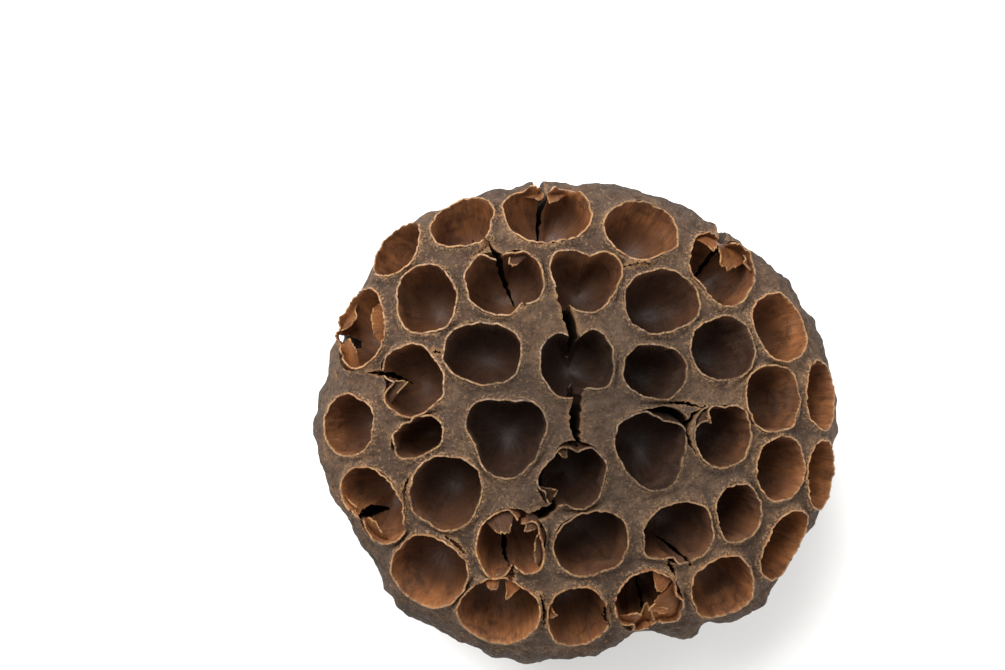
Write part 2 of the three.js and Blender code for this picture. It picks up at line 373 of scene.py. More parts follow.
def lining_points(shape, plain):
    """Bends a plain cup's points to a cell. Gives their places, directions and depths below the rim."""
    angle = np.arctan2(plain[:, 1], plain[:, 0])
    row = -plain[:, 2] / CELL_ROWS
    teeth = 0.7 * ring_noise(shape, 12) + 0.8 * ring_noise(shape, 50, 1)
    proud = RIM_PROUD * (1 + shape["frill"] * teeth)
    lean = (0.15 * ring_noise(shape, 34, 6) + 0.3 * ring_noise(shape, 11, 7)) * MM
    for direction, width, rise, inward in PETALS.get(shape["number"], []):
        off = 2 * np.sin((SIDES - math.radians(direction)) / 2)
        swell = np.exp(-((off / math.radians(width)) ** 2))
        proud = proud + rise * MM * swell * (1 + 0.5 * teeth)
        lean = lean + inward * MM * swell
    start = np.interp(angle, SIDES, -rim_height(shape, SIDES) - proud)
    depth = depth_along(start, row ** 1.15)
    crease = np.interp(angle, SIDES, ring_noise(shape, 34, 2))
    swell = np.interp(angle, SIDES, ring_noise(shape, 8, 3))
    ring = np.stack([2.4 * np.cos(angle), 2.4 * np.sin(angle), 3 * row + 3.1 * shape["number"]], -1)
    dents = rough(ring, 1.0, seed=4)
    fade = np.sin(np.clip(row * 1.05, 0, 1) * math.pi) ** 0.5
    grow = (0.2 * crease + 0.3 * swell + 0.3 * dents) * MM * fade + 0.1 * MM * swell * (1 - row)
    grow = np.minimum(grow - 0.3 * MM * fade, -0.05 * MM)
    grow = grow - np.interp(angle, SIDES, lean) * np.clip(1 - row / PETAL_REACH, 0, 1) ** 1.4
    sideways = np.stack([np.cos(angle), np.sin(angle), 0 * angle], -1) * (grow * wall_share(depth))[:, None]
    return wall_point(shape, angle, depth) + sideways @ shape["turned"].T, angle, depth - start


APART, NEIGHBOUR_REACH, MOST_PUSHED = 0.7 * MM, 24 * MM, 5 * MM


def clear_of_neighbours(shape, points):
    """Moves a wall's points aside where a neighbour's cell comes too near, half the way each."""
    moved = points.copy()
    for other in CELLS:
        if other is shape or (other["mouth"] - shape["mouth"]).length > NEIGHBOUR_REACH:
            continue
        local = (points - np.array(other["mouth"])) @ other["turned"]
        angle, across = np.arctan2(local[:, 1], local[:, 0]), np.hypot(local[:, 0], local[:, 1])
        inside = mouth_radius(other, angle) * wall_share(-local[:, 2]) - across
        below_mouth = np.clip(-local[:, 2] / MM - 0.2, 0, 1)
        push = np.clip(inside + APART, 0, MOST_PUSHED) / 2 * below_mouth
        aside = np.stack([np.cos(angle), np.sin(angle), 0 * angle], -1) * push[:, None]
        moved += aside @ other["turned"].T
    return moved


wall_record = []


def recorded(number, points, angle, below):
    """Notes each point's cell, direction and depth for the finishes, and gives the points back."""
    wall_record.append((points, np.full(len(points), number), angle, below))
    return points


def line_cell(shape, plain):
    """A plain cup's points as a cell's lining, clear of the cells beside it."""
    points, angle, below = lining_points(shape, plain)
    return recorded(shape["number"], clear_of_neighbours(shape, points), angle, below)


def thickened(name, whole, thickness, offset):
    """A bmesh as a piece with a thickness."""
    piece = new_object(name, whole)
    shell = piece.modifiers.new("thickness", "SOLIDIFY")
    shell.thickness, shell.offset, shell.use_rim = thickness, offset, True
    apply_modifiers(piece)
    print(name, len(piece.data.polygons), "faces")
    return piece


def make_linings(name, cells):
    """One piece that holds the linings of some cells."""
    whole = bmesh.new()
    for shape in cells:
        add_bent(whole, plain_cup(lid=False), lambda plain: line_cell(shape, plain))
    return thickened(name, whole, LINING_THICKNESS, 1.0)


linings = [make_linings("linings_middle", MIDDLE_CELLS), make_linings("linings_inner", INNER_RING),
           make_linings("linings_ring", MIDDLE_RING), make_linings("linings_outer", OUTER_RING)]

# %% [markdown]
# ## Loose flaps
# Some rims kept a loose flap, a scrap of lining or of web that lifted and curled over the mouth. Each
# is a grid bent to a stretch of the rim: its foot sits on the wall and its tip leans in.

# %% Make the flaps
FLAPS = [
    # cell, the two directions it spans, how much it rises and leans in, and how much narrower its tip is
    (12, 84, 140, 0.5, 4.4, 0.5),
    (12, 34, 66, 1.4, 2.6, 0.5),
    (12, -40, 30, 0.9, 2.0, 0.3),
    (3, 96, 128, 0.8, 2.0, 0.6),
    (3, -165, -128, 0.9, 2.6, 0.5),
    (28, -36, 48, 0.8, 2.6, 0.4),
    (28, 120, 178, 1.6, 3.6, 0.4),
    (28, 218, 276, 1.0, 4.2, 0.3),
    (23, 86, 126, 2.6, 4.2, 0.4),
    (23, 20, 80, 2.6, 7.4, 0.35),
    (23, -8, 30, 1.8, 2.8, 0.3),
    (25, 94, 124, 3.4, 3.4, 0.45),
    (25, 52, 86, 3.8, 5.0, 0.4),
    (30, 172, 214, 1.0, 2.0, 0.4),
    (30, 236, 286, 1.4, 3.8, 0.3),
    (34, -150, -112, 1.4, 4.2, 0.25),
    (34, -106, -74, 1.6, 5.0, 0.35),
    (34, -66, -22, 2.2, 5.2, 0.3),
    (34, -16, 46, 1.0, 6.2, 0.35),
    (34, 54, 92, 0.6, 3.6, 0.5),
    (32, 52, 84, 0.3, 3.8, 0.7),
    (32, 88, 112, 0.4, 2.2, 0.4),
    (33, 150, 182, 0.5, 1.6, 0.5),
    (5, 128, 154, 1.5, 1.8, 0.7),
    (9, 50, 82, 0.8, 3.0, 0.5),
    (18, 186, 226, 1.0, 4.2, 0.4),
]
FLAP_SIDES, FLAP_ROWS, FLAP_FOOT, FLAP_THICKNESS = 26, 12, 1.6 * MM, 0.24 * MM


def flap_points(flap, plain, number):
    """Bends a flat grid, from -1 to 1 each way, to a flap that is rounded and a little torn at its tip."""
    cell_number, start, end, rise, inward, taper = flap
    shape = CELLS[cell_number]
    up = (plain[:, 1] + 1) / 2
    across = plain[:, 0] / 2 * (1 - taper * up ** 1.5) + 0.5
    angle = np.radians(start + (end - start) * across)
    torn = rough(np.stack([plain[:, 0] * 2.2, 0 * up, 0 * up + number * 4.3], -1), 1.0, seed=12, octaves=3)
    field = np.stack([plain[:, 0] * 1.1, up * 0.9, 0 * up + number * 2.9], -1)
    waves = rough(field, 1.0, seed=13, octaves=1)
    reach = up * (1 + 0.12 * torn - 0.3 * plain[:, 0] ** 2)
    mouth = mouth_radius(shape, angle)
    radius = mouth + (np.mean(mouth) - mouth) * up + 0.8 * MM * waves * up - 0.05 * MM
    leaning, middle = inward * MM * reach ** 1.5, math.radians((start + end) / 2)
    height = rim_height(shape, angle) - FLAP_FOOT * (1 - up) + (rise * reach + 0.5 * waves * up) * MM
    local = np.stack([radius * np.cos(angle) - leaning * math.cos(middle),
                      radius * np.sin(angle) - leaning * math.sin(middle), height], -1)
    length = FLAP_FOOT + math.hypot(rise, inward) * MM
    points = local @ shape["turned"].T + np.array(shape["mouth"])
    return recorded(cell_number, points, angle, (1 - up) * length)


whole = bmesh.new()
for number, flap in enumerate(FLAPS):
    sheet = bmesh.new()
    bmesh.ops.create_grid(sheet, x_segments=FLAP_SIDES, y_segments=FLAP_ROWS, size=1)
    add_bent(whole, sheet, lambda plain: flap_points(flap, plain, number))
flaps = thickened("torn_flaps", whole, FLAP_THICKNESS, 0.0)

# %% [markdown]
# ## The husk
# The husk starts as an icosphere, because its triangles are even all over and have no poles. Each
# vertex keeps its share of the surface: the sphere's area from the top down is matched to the
# head's, with more of it given to the face, which needs the finer mesh.

# %% Draw the head
def smooth_line(points, steps):
    """A curve through points, as a Catmull-Rom spline."""
    points = np.array([points[0], *points, points[-1]], float)
    made = []
    for a, b, c, d in zip(points, points[1:], points[2:], points[3:]):
        for t in np.linspace(0, 1, steps, endpoint=False):
            made.append(0.5 * (2 * b + (c - a) * t + (2 * a - 5 * b + 4 * c - d) * t ** 2
                               + (3 * b - a - 3 * c + d) * t ** 3))
    return np.array(made + [points[-1]])


turns = np.linspace(math.pi / 2, 0, 60)
face_line = np.stack([MEAN_RADIUS * np.cos(turns).clip(0) ** (2 / DOME_FULLNESS),
                      SHOULDER_HEIGHT + DOME_HEIGHT * np.sin(turns) ** (2 / DOME_FULLNESS)], -1)
flank_line = smooth_line(
    MM * np.array([[47, 33], [43, 25], [32, 16.5], [20, 10.5], [11, 6], [8.5, 2.5]]), 12)
stub_line = MM * np.array([[8.5, 1], [8.5, 0], [8.5, -1.5], [0, -1.5]])
outline = np.concatenate([face_line, flank_line[1:], stub_line])
spans = np.hypot(*np.diff(outline, axis=0).T)
bands = math.tau * (outline[1:, 0] + outline[:-1, 0]) / 2 * spans
weight = np.where(np.arange(len(bands)) < len(face_line) - 1, 1.25, 1.0)
area_share = np.concatenate([[0], np.cumsum(bands * weight)])
area_share /= area_share[-1]

husk_mesh = bmesh.new()
bmesh.ops.create_icosphere(husk_mesh, subdivisions=7, radius=1)
husk = new_object("husk", husk_mesh)
ball = points_of(husk.data)
ball /= np.linalg.norm(ball, axis=1)[:, None]
share = (1 - ball[:, 2]) / 2
radius, height = np.interp(share, area_share, outline[:, 0]), np.interp(share, area_share, outline[:, 1])
azimuth = np.arctan2(ball[:, 1], ball[:, 0])
stalk = np.where(height < SHOULDER_HEIGHT, STALK_RADIUS, 0)
spread = (outline_radius(azimuth) - stalk) / (MEAN_RADIUS - stalk)
radius = np.where(radius > stalk, stalk + (radius - stalk) * spread, radius)
head = np.stack([radius * np.cos(azimuth), radius * np.sin(azimuth), height], -1)
place_points(husk.data, head)
print("the husk starts with", len(head), "points")

# %% [markdown]
# ## Relief
# The web between two cells sinks a little and rises to meet each rim, and where two rims nearly
# touch there is a dark groove between them. All of that depends on how far a point is from the
# nearest mouths, so the distances are worked out for every vertex at once. The skin outside the
# cells is lumpy and wrinkled, which is two sizes of noise.

# %% Distances to the mouths
def mouth_distances(points):
    """How far points are from the edges of the nearest mouth and the next one; below 0 is inside."""
    nearest, second = np.full(len(points), 1.0), np.full(len(points), 1.0)
    for shape in CELLS:
        local = (points - np.array(shape["mouth"])) @ shape["turned"]
        rim = mouth_radius(shape, np.arctan2(local[:, 1], local[:, 0]))
        across = np.hypot(local[:, 0], local[:, 1]) - rim
        deep = np.maximum(0, np.abs(local[:, 2]) - 4 * MM)
        distance = np.where(across > 0, np.hypot(across, deep), np.maximum(across, deep))
        second = np.minimum(second, np.maximum(nearest, distance))
        nearest = np.minimum(nearest, distance)
    return nearest, second


def normals_of(mesh):
    """A mesh's outward directions, one row each."""
    flat = np.empty(len(mesh.vertices) * 3, np.float32)
    mesh.vertices.foreach_get("normal", flat)
    return flat.reshape(-1, 3).astype(float)


WEB_LOW = 38 * MM
fine_mesh = bmesh.new()
fine_mesh.from_mesh(husk.data)
fine_mesh.verts.ensure_lookup_table()
on_web = (mouth_distances(head)[0] > -0.4 * MM) & (head[:, 2] > WEB_LOW)
web_edges = [edge for edge in fine_mesh.edges if all(on_web[vert.index] for vert in edge.verts)]
bmesh.ops.subdivide_edges(fine_mesh, edges=web_edges, cuts=1, use_grid_fill=True)
bmesh.ops.triangulate(fine_mesh, faces=[face for face in fine_mesh.faces if len(face.verts) > 3])
fine_mesh.to_mesh(husk.data)
fine_mesh.free()
head = points_of(husk.data)
print("the husk has", len(head), "points after its web is made finer")

# %% Raise and sink the surface
# heights and depths in millimetres
LIP, SINK, GROOVE, WRINKLES, LUMPS, CREASES, RIBS, NECK = 0.25, 1.0, 1.7, 0.3, 1.45, 0.5, 0.22, 0.8
RIB_COUNT = 26
near, second = mouth_distances(head)
azimuth = np.arctan2(head[:, 1], head[:, 0])
on_face = np.clip((head[:, 2] - 30 * MM) / (8 * MM), 0, 1)
skin = 1 - np.exp(-(np.clip(near - 1.5 * MM, 0, 1) / (3 * MM)) ** 2)
lip = LIP * np.exp(-(near / (0.7 * MM)) ** 2)
sink = -SINK * (1 - np.exp(-(near / (1.6 * MM)) ** 2)) * (1 - skin)
groove_place = np.exp(-((second - near) / (0.6 * MM)) ** 2) * np.exp(-(near / (1.0 * MM)) ** 2)
patches = np.clip(rough(head, 9 * MM, seed=3, octaves=2) * 1.6 + 0.7, 0, 1)
groove = -GROOVE * groove_place * patches
away = np.clip(near / (0.8 * MM), 0, 1)
web_wrinkles = (WRINKLES * rough(head, 2.4 * MM, seed=5) * away
                + 0.2 * rough(head, 1.0 * MM, seed=6, octaves=2))
lumps = (LUMPS * rough(head, 9 * MM, seed=8) + 0.3 * rough(head, 2.2 * MM, seed=9, octaves=4)) * skin
creases = -CREASES * np.abs(rough(head * [1, 1, 0.3], 4.2 * MM, seed=11)) * skin
below_rim = np.clip((31 * MM - head[:, 2]) / (8 * MM), 0, 1)
ribs = RIBS * np.sin(azimuth * RIB_COUNT + 1.5 * rough(head, 16 * MM, seed=14)) * below_rim
neck = NECK * np.exp(-((head[:, 2] - 5.5 * MM) / (0.9 * MM)) ** 2)
off_stub = np.clip((head[:, 2] - 1 * MM) / (4 * MM), 0, 1)
raised = (on_face * (lip + sink + groove + web_wrinkles) + off_stub * (lumps + creases + ribs + neck)) * MM
head_normals = normals_of(husk.data)
head = head + head_normals * raised[:, None]
place_points(husk.data, head)
print("the relief runs from", round(raised.min() / MM, 2), "to", round(raised.max() / MM, 2), "mm")

# %% Trim the stub flat at the cut
husk_mesh = bmesh.new()
husk_mesh.from_mesh(husk.data)
bmesh.ops.bisect_plane(husk_mesh, geom=husk_mesh.verts[:] + husk_mesh.edges[:] + husk_mesh.faces[:],
                       plane_co=(0, 0, 0), plane_no=(0, 0, -1), clear_outer=True)
rim = [edge for edge in husk_mesh.edges if edge.is_boundary]
bmesh.ops.holes_fill(husk_mesh, edges=rim, sides=0)
bmesh.ops.triangulate(husk_mesh, faces=[face for face in husk_mesh.faces if len(face.verts) > 3])
bmesh.ops.recalc_face_normals(husk_mesh, faces=husk_mesh.faces)
husk_mesh.to_mesh(husk.data)
husk_mesh.free()
print("the husk has", len(husk.data.polygons), "faces before it is cut")

# %% [markdown]
# ## The cut stalk
# A lotus stalk is full of air channels, which show as holes where it was cut: a ring of wide ones.

# %% Drill the air channels
CHANNELS, CHANNEL_RING, CHANNEL_RADIUS, CHANNEL_DEPTH = 7, 4.9 * MM, 1.15 * MM, 6 * MM
drills = bmesh.new()
for number in range(CHANNELS):
    turn = Matrix.Rotation(math.tau * number / CHANNELS + 0.2 * math.sin(number * 2.3), 4, "Z")
    width = CHANNEL_RADIUS * (1 + 0.2 * math.sin(number * 4.1))
    bmesh.ops.create_cone(drills, cap_ends=True, segments=28, radius1=width, radius2=width * 0.7,
                          depth=CHANNEL_DEPTH, matrix=turn @ Matrix.Translation((CHANNEL_RING, 0, 0)))
drill = new_object("drill", drills)
cut_away(husk, drill)
bpy.data.objects.remove(drill)
print(CHANNELS, "air channels")

# %% [markdown]
# ## Cut the cells
# The cups that cut are a little larger than the linings' inside and smaller than their outside, so
# each lining ends up partly buried and no gap shows. They are one mesh, cut at once.

# %% Cut the cells out of the husk
CUT_ABOVE_RIM, CUT_LID, CUT_BURIES = 3 * MM, 8 * MM, 0.6


def cutter_points(shape, plain):
    """Bends a plain cup with a lid to the cup that cuts a cell."""
    angle, row = np.arctan2(plain[:, 1], plain[:, 0]), -plain[:, 2] / CELL_ROWS
    start = -np.interp(angle, SIDES, rim_height(shape, SIDES)) - CUT_ABOVE_RIM
    depth = np.where(row < 0, start - 1 * MM, depth_along(start, np.clip(row, 0, 1)))
    centre = np.hypot(plain[:, 0], plain[:, 1])[:, None] < 0.5
    wall = wall_point(shape, angle, depth, LINING_THICKNESS * CUT_BURIES)
    middle = np.stack([0 * angle, 0 * angle, -np.where(row < 0, -CUT_LID, depth)], -1) @ shape["turned"].T
    return np.where(centre, middle + np.array(shape["mouth"]), wall)


cutters = bmesh.new()
for shape in CELLS:
    add_bent(cutters, plain_cup(lid=True), lambda plain: cutter_points(shape, plain))
cutter = new_object("cutter", cutters)
cut_away(husk, cutter)
bpy.data.objects.remove(cutter)
print("the husk has", len(husk.data.polygons), "faces with its cells cut")

# %% [markdown]
# ## Cracks
# Drying has split the web along a line through the middle of the face and broken the rim in places.
# A crack runs from a place on one cell's rim to a place on another's, or past it, so the table names
# the cells and the directions from their middles. Each crack is an upright blade: a strip of faces
# laid along its path, jagged at both sides, then extruded down. The same blades cut husk and linings.

# %% The cracks' paths
CRACKS = [
    # from: cell, direction, past the rim; to: the same; half width, depth and sideways bend, all in mm
    ((8, 195, 0.0), (0, 100, -5.0), 1.25, 12, 0.8),
    ((0, -75, -1.5), (3, 78, -0.8), 1.35, 12, -0.9),
    ((3, 88, -2.0), (3, -140, -0.5), 0.9, 18, -2.0),
    ((3, -118, -1.5), (12, 72, -1.0), 1.2, 10, 1.2),
    ((12, 72, -1.0), (12, -84, -0.5), 0.9, 22, -0.6),
    ((12, -84, -0.8), (32, 78, -2.0), 0.8, 5, 0.3),
    ((9, 112, 3.2), (9, -52, 0.5), 0.8, 20, 0.5),
    ((18, 52, 0.3), (10, 182, 0.2), 0.45, 4, 0.3),
    ((18, 170, 2.6), (18, -30, -4.5), 0.7, 16, 0.6),
    ((25, -88, -1.5), (25, 90, 8.0), 1.5, 20, 0.2),
    ((23, -135, -2.0), (23, 68, 9.0), 1.9, 17, -0.4),
    ((28, -45, -2.2), (28, 202, -1.5), 1.9, 14, 0.3),
    ((30, -12, -1.5), (30, 222, -0.9), 1.6, 18, -0.4),
    ((14, 200, -4.5), (14, -62, 1.2), 0.55, 14, 0.3),
    ((34, 96, -1.5), (34, -84, -0.5), 0.5, 18, 0.4),
    ((8, 18, 0.5), (7, 92, 0.9), 0.35, 3, 0.4),
    ((14, -110, 0.2), (34, 52, 0.4), 0.55, 4, 0.2),
    ((5, 122, 0.7), (5, 212, 0.7), 0.6, 6, -2.6),
    ((2, 74, 0.6), (5, 128, 0.4), 0.5, 5, 0.5),
    ((32, 30, 0.6), (33, 196, 0.7), 0.5, 5, 0.4),
    ((33, 30, 0.6), (33, -20, 0.8), 0.5, 5, -0.5),
    ((11, 152, 0.6), (11, 206, 0.7), 0.45, 4, -0.8),
    ((31, 30, 0.5), (31, 66, 0.7), 0.55, 4, -0.3),
    ((26, -35, 0.6), (9, 140, 0.5), 0.35, 4, 0.3),
]
CRACK_STEPS = 20


def beside_mouth(number, direction, past):
    """The point, seen from above, that is so far past a cell's rim in a direction."""
    shape, angle = CELLS[number], np.array([math.radians(direction)])
    radius = mouth_radius(shape, angle) + past * MM
    local = np.stack([radius * np.cos(angle), radius * np.sin(angle), 0 * angle], -1)
    return (local @ shape["turned"].T)[0, :2] + [shape["x"], shape["y"]]


def crack_line(crack):
    """Points along a crack, with half its width at each: narrow at its ends and widest between."""
    start, end, half_width, _, bend = crack
    first, last = beside_mouth(*start), beside_mouth(*end)
    run = last - first
    side = np.array([-run[1], run[0]]) / np.linalg.norm(run)
    along = np.linspace(0, 1, CRACK_STEPS + 1)
    opens_out = end[2] > 5
    width = half_width * MM * (0.25 + 0.75 * (along if opens_out else np.sin(along * math.pi)))
    path = first + run * along[:, None] + side * (bend * MM * np.sin(along * math.pi))[:, None]
    return path, width


def crack_blade(crack, number):
    """A crack's upright jagged blade, as a bmesh of its own."""
    path, width = crack_line(crack)
    run = np.gradient(path, axis=0)
    side = np.stack([-run[:, 1], run[:, 0]], -1) / np.linalg.norm(run, axis=1)[:, None]
    blade = bmesh.new()
    bmesh.ops.create_grid(blade, x_segments=CRACK_STEPS, y_segments=1, size=1)
    for vert in blade.verts:
        step = int(round((vert.co.x + 1) / 2 * CRACK_STEPS))
        jag = 0.6 * noise.noise(Vector((step * 0.85, vert.co.y * 3, number * 5.1)))
        ragged = noise.noise(Vector((step * 2.3, vert.co.y * 3, number * 3.7)))
        jag += 0.3 * ragged * min(1, width[step] / (0.8 * MM))
        x, y = path[step] + side[step] * (vert.co.y * width[step] + jag * MM)
        vert.co = (x, y, float(dome_height(x, y)) + 6 * MM)
    made = bmesh.ops.extrude_face_region(blade, geom=blade.faces[:])["geom"]
    for vert in (item for item in made if isinstance(item, bmesh.types.BMVert)):
        nearest = path[np.argmin(np.hypot(path[:, 0] - vert.co.x, path[:, 1] - vert.co.y))]
        inward = (Vector((*nearest, 0)) - Vector((vert.co.x, vert.co.y, 0))) * 0.6
        vert.co += inward + Vector((0, 0, -6 * MM - crack[3] * MM))
    bmesh.ops.recalc_face_normals(blade, faces=blade.faces)
    return blade


blades = new_object("blades", crack_blade(CRACKS[0], 0))
for number, crack in enumerate(CRACKS[1:], 1):
    blade = new_object("blade", crack_blade(crack, number))
    cut_away(blades, blade, "UNION")
    bpy.data.objects.remove(blade)
for piece in [husk, *linings]:
    cut_away(piece, blades)
bpy.data.objects.remove(blades)
print("the husk has", len(husk.data.polygons), "faces with its cracks")

# %% [markdown]
# ## What the finishes need to know
# The finishes follow the shape: a rim is paler than the web, partly with a painted highlight, a wall gets
# painted shade on its way down, and a wall's streaks run from its rim to its bottom. Each vertex is told
# how far it is from a rim, how far it is sunk in the head, for the painted shade of cracks, which cell it
# is in and where on that cell's wall, and the materials read that as attributes.

# %% Attributes from the shape
def give(piece, name, values):
    """Stores one number, or one row of three, for each vertex of a piece."""
    values = np.asarray(values, np.float32)
    kind, key = ("FLOAT", "value") if values.ndim == 1 else ("FLOAT_VECTOR", "vector")
    layer = piece.data.attributes.get(name) or piece.data.attributes.new(name, kind, "POINT")
    layer.data.foreach_set(key, values.ravel())


record_places, record_numbers, record_angles, record_depths = (
    np.concatenate(column) for column in zip(*wall_record))
wall_tree = kdtree.KDTree(len(record_places))
for index, place in enumerate(record_places):
    wall_tree.insert(place, index)
wall_tree.balance()


def middle_share(points):
    """1 in the middle of the face and fading outwards, where the finishes paint shade: the light and the
    weather reach there least.
    """
    return np.exp(-((np.hypot(points[:, 0], points[:, 1]) / (27 * MM)) ** 2))


FIRST_OUTER = len(CELLS) - len(OUTER_RING)


def tell_wall(piece, scrap=0.0):
    """Gives a lining its depth, warmth and streaks by the nearest point bent; scrap is 1 for flaps."""
    found = np.array([wall_tree.find(place)[1] for place in points_of(piece.data)])
    number, direction, below = record_numbers[found], record_angles[found], record_depths[found] / MM
    give(piece, "below", below)
    give(piece, "middle", middle_share(record_places[found]))
    outer = number >= FIRST_OUTER
    give(piece, "scrap", np.full(len(found), scrap))
    give(piece, "warmth", np.array([shape["warmth"] for shape in CELLS])[number] - 0.4 * scrap * ~outer)
    down = 0.12 * below + 9.1 * number
    give(piece, "streak", np.stack([6 * np.cos(direction), 6 * np.sin(direction), down], -1))


def crack_distances(points):
    """How far each point is, seen from above, from the edge of the nearest crack."""
    nearest = np.full(len(points), 1.0)
    for crack in CRACKS:
        for place, width in zip(*crack_line(crack)):
            distance = np.hypot(points[:, 0] - place[0], points[:, 1] - place[1]) - width
            nearest = np.minimum(nearest, distance)
    return nearest


def sunk_depths(points):
    """How far points are below the head's plain surface, measured about square to it."""
    x, y, z = points.T
    below_dome = (dome_height(x, y) - z) / np.hypot(1, np.hypot(*dome_slopes(x, y, MM)))
    flank = np.interp(z, flank_line[::-1, 1], flank_line[::-1, 0])
    spread = (outline_radius(np.arctan2(y, x)) - STALK_RADIUS) / (MEAN_RADIUS - STALK_RADIUS)
    below_flank = STALK_RADIUS + (flank - STALK_RADIUS) * spread - np.hypot(x, y)
    depth = np.where(z < SHOULDER_HEIGHT, below_flank, below_dome)
    return depth - FLANK_RELIEF * np.clip((40 * MM - z) / (7 * MM), 0, 1)


FLANK_RELIEF, STUB_TOP, FAR = 1.0 * MM, 8 * MM, 9
husk_points = points_of(husk.data)
husk_near = mouth_distances(husk_points)[0]
husk_height = husk_points[:, 2]
outside = husk_height < SHOULDER_HEIGHT + 2 * MM
give(husk, "near", husk_near / MM)
give(husk, "middle", middle_share(husk_points))
give(husk, "torn", np.where(outside, FAR, crack_distances(husk_points) / MM))
give(husk, "sunk", np.where(husk_height < STUB_TOP, 0, sunk_depths(husk_points) / MM))
give(husk, "skin", 1 - np.exp(-(np.clip(husk_near - 2 * MM, 0, 1) / (3.5 * MM)) ** 2))
for piece in linings:
    tell_wall(piece)
tell_wall(flaps, scrap=1.0)
print("attributes:", sorted(name for name in husk.data.attributes.keys() if not name.startswith(".")))

# %% Soft shading with crisp cuts
def shade(piece, sharpest=50):
    """Smooth shading, but with an edge left crisp where its faces meet at more than an angle."""
    made = bmesh.new()
    made.from_mesh(piece.data)
    for face in made.faces:
        face.smooth = True
    for edge in made.edges:
        edge.smooth = edge.calc_face_angle(0) < math.radians(sharpest)
    made.to_mesh(piece.data)
    made.free()


for piece in [husk, *linings, flaps]:
    shade(piece)

# %% [markdown]
# ## Finishes
# Two effects are shared by all the finishes, so they are node groups. Dry fibre is the fine grain of
# woody tissue, as a mask and as a height for the bump. Dust is the pale film that lies in patches.

# %% Helpers for nodes
def srgb(red, green, blue):
    """A colour given in 0 to 255 as a shader wants it."""
    return (*[((v / 255 + 0.055) / 1.055) ** 2.4 for v in (red, green, blue)], 1.0)


def put(tree, kind, settings=None, **inputs):
    """Adds a node. Each input is a value or another node's output; spaces in its name are underscores."""
    node = tree.nodes.new(kind)
    for name, value in (settings or {}).items():
        setattr(node, name, value)
    for name, value in inputs.items():
        socket = node.inputs[int(name[1:])] if name[1:].isdigit() else node.inputs[name.replace("_", " ")]
        if isinstance(value, bpy.types.NodeSocket):
            tree.links.new(value, socket)
        else:
            socket.default_value = value
    return node


def blend(tree, factor, first, second):
    """Mixes two colours by a factor."""
    return put(tree, "ShaderNodeMix", {"data_type": "RGBA"}, _0=factor, _6=first, _7=second).outputs[2]


def ramp(tree, value, low, high, out_low=0.0, out_high=1.0):
    """Spreads a value between low and high over another range, smoothly."""
    return put(tree, "ShaderNodeMapRange", {"interpolation_type": "SMOOTHSTEP"}, Value=value, From_Min=low,
               From_Max=high, To_Min=out_low, To_Max=out_high).outputs[0]


def calc(tree, operation, first, second):
    """The sum or the product of two values."""
    return put(tree, "ShaderNodeMath", {"operation": operation}, _0=first, _1=second).outputs[0]


def mottle(tree, place, scale, detail, roughness, distortion=0.0):
    """A noise texture's value, from 0 to 1."""
    return put(tree, "ShaderNodeTexNoise", Vector=place, Scale=scale, Detail=detail, Roughness=roughness,
               Distortion=distortion).outputs[0]


def attribute(tree, name, output="Fac"):
    """A piece's own attribute."""
    return put(tree, "ShaderNodeAttribute", {"attribute_name": name}).outputs[output]


def new_group(name, inputs, outputs):
    """An empty node group with named sockets."""
    tree = bpy.data.node_groups.new(name, "ShaderNodeTree")
    for socket, kind, value in inputs:
        made = tree.interface.new_socket(socket, in_out="INPUT", socket_type="NodeSocket" + kind)
        if value is not None:
            made.default_value = value
    for socket in outputs:
        tree.interface.new_socket(socket, in_out="OUTPUT", socket_type="NodeSocketFloat")
    return tree, tree.nodes.new("NodeGroupInput").outputs, tree.nodes.new("NodeGroupOutput").inputs


def use(tree, group, **inputs):
    """Places a node group in a material."""
    node = tree.nodes.new("ShaderNodeGroup")
    node.node_tree = group
    for name, value in inputs.items():
        socket = node.inputs[name]
        if isinstance(value, bpy.types.NodeSocket):
            tree.links.new(value, socket)
        else:
            socket.default_value = value
    return node.outputs


# %% The shared effects
fibre, given, made = new_group(
    "dry fibre", [("Vector", "Vector", None), ("Scale", "Float", 1.0)], ["Mask", "Height"])
coarse = mottle(fibre, given["Vector"], given["Scale"], 6, 0.62, 0.6)
fine = mottle(fibre, given["Vector"], calc(fibre, "MULTIPLY", given["Scale"], 4.3), 4, 0.7)
height = calc(fibre, "MULTIPLY", calc(fibre, "ADD", coarse, fine), 0.5)
fibre.links.new(ramp(fibre, height, 0.38, 0.62), made["Mask"])
fibre.links.new(height, made["Height"])

dust, given, made = new_group("dust", [("Vector", "Vector", None), ("Amount", "Float", 0.3)], ["Mask"])
patch = ramp(dust, mottle(dust, given["Vector"], 160, 5, 0.6), 0.42, 0.68)
speck = ramp(dust, mottle(dust, given["Vector"], 2600, 2, 0.6), 0.35, 0.7)
film = calc(dust, "MULTIPLY", calc(dust, "MULTIPLY", patch, speck), given["Amount"])
dust.links.new(film, made["Mask"])
print("shared effects:", [group.name for group in bpy.data.node_groups])

# %% [markdown]
# ## The husk's finish
# The web is a matt grey-brown with darker and redder patches, finely fibrous, with tan specks where the
# skin is rubbed, and painted shade darkens it towards the middle of the face. It turns tan and crumbly
# right at a rim. The outer skin is darker and greyer, and painted shade takes the walls of a crack down to
# nearly black, with no sheen.

# %% Dry husk
def new_material(name):
    """A material with only its shader and its output."""
    material = bpy.data.materials.new(name)
    material.use_nodes = True
    return material, material.node_tree, material.node_tree.nodes["Principled BSDF"]


